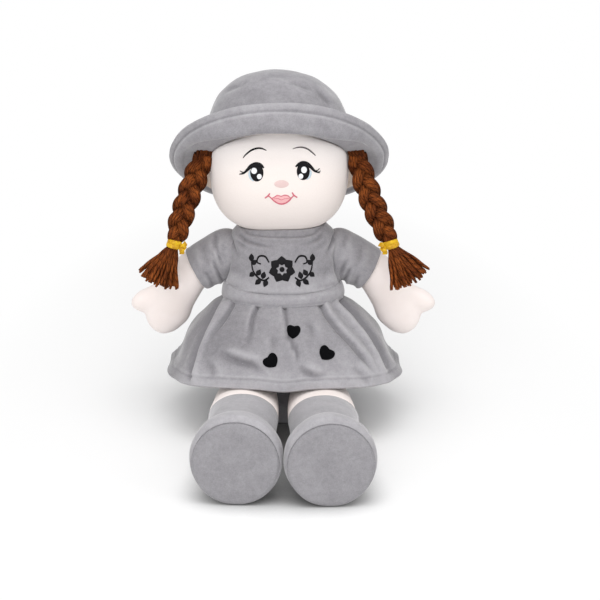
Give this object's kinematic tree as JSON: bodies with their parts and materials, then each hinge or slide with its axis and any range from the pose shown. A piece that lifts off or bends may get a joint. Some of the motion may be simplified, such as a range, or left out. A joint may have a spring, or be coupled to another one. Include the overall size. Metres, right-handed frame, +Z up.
{
  "type": "rag doll",
  "caption": "Seated stuffed rag doll in a pleated dress with plaits and a brimmed hat; its head nods, arms lift, legs swing down and plaits hang free.",
  "frame": {"origin": "middle of the flat seat the doll sits on, in line with its spine's foot", "axes": "+Z up, -Y the way the doll faces, +X the doll's left side"},
  "size_m": [0.2758, 0.3028, 0.3186],
  "materials": {
    "cream_plush": "short soft plush",
    "lining_cloth": "plain weave",
    "grey_velour": "short velour pile",
    "brown_yarn": "twisted wool",
    "yellow_ribbon": "matt satin",
    "black_felt": "matt felt"
  },
  "bodies": {
    "torso": {"torso": "cream_plush", "bodice": "grey_velour", "waistband": "grey_velour", "collar": "grey_velour", "skirt": "grey_velour", "heart_patch_1": "black_felt", "heart_patch_2": "black_felt", "heart_patch_3": "black_felt"},
    "head": {"head": "cream_plush", "hat_brim": "grey_velour", "hat_crown_side": "grey_velour", "hat_crown_top": "grey_velour", "hat_lining": "lining_cloth"},
    "plait_left": {"plait_strand_a_left": "brown_yarn", "plait_strand_b_left": "brown_yarn", "plait_strand_c_left": "brown_yarn", "tassel_left": "brown_yarn", "ribbon_band_left": "yellow_ribbon", "ribbon_knot_left": "yellow_ribbon"},
    "arm_left": {"sleeve_left": "grey_velour", "arm_left": "cream_plush"},
    "leg_left": {"thigh_left": "cream_plush", "sock_left": "grey_velour", "shoe_left": "grey_velour", "sole_left": "grey_velour"},
    "plait_right": {"plait_strand_a_right": "brown_yarn", "plait_strand_b_right": "brown_yarn", "plait_strand_c_right": "brown_yarn", "tassel_right": "brown_yarn", "ribbon_band_right": "yellow_ribbon", "ribbon_knot_right": "yellow_ribbon"},
    "arm_right": {"sleeve_right": "grey_velour", "arm_right": "cream_plush"},
    "leg_right": {"thigh_right": "cream_plush", "sock_right": "grey_velour", "shoe_right": "grey_velour", "sole_right": "grey_velour"}
  },
  "joints": [
    {"name": "head_nod", "type": "hinge", "parent": "torso", "child": "head", "pos_m": [0, 0.025, 0.233], "axis": [1, 0, 0], "range_deg": [-15, 8]},
    {"name": "plait_swing_left", "type": "hinge", "parent": "head", "child": "plait_left", "pos_m": [0.06513, 0.003, 0.242], "axis": [-1, 0, 0], "range_deg": [0, 50]},
    {"name": "arm_raise_left", "type": "hinge", "parent": "torso", "child": "arm_left", "pos_m": [0.05192, 0.026, 0.15142], "axis": [0, -1, 0], "range_deg": [-2, 45]},
    {"name": "leg_swing_left", "type": "hinge", "parent": "torso", "child": "leg_left", "pos_m": [0.031, -0.04, 0.034], "axis": [1, 0, 0], "range_deg": [0, 80]},
    {"name": "plait_swing_right", "type": "hinge", "parent": "head", "child": "plait_right", "pos_m": [-0.06513, 0.003, 0.242], "axis": [-1, 0, 0], "range_deg": [0, 50]},
    {"name": "arm_raise_right", "type": "hinge", "parent": "torso", "child": "arm_right", "pos_m": [-0.05192, 0.026, 0.15142], "axis": [0, 1, 0], "range_deg": [-2, 45]},
    {"name": "leg_swing_right", "type": "hinge", "parent": "torso", "child": "leg_right", "pos_m": [-0.031, -0.04, 0.034], "axis": [1, 0, 0], "range_deg": [0, 80]}
  ]
}
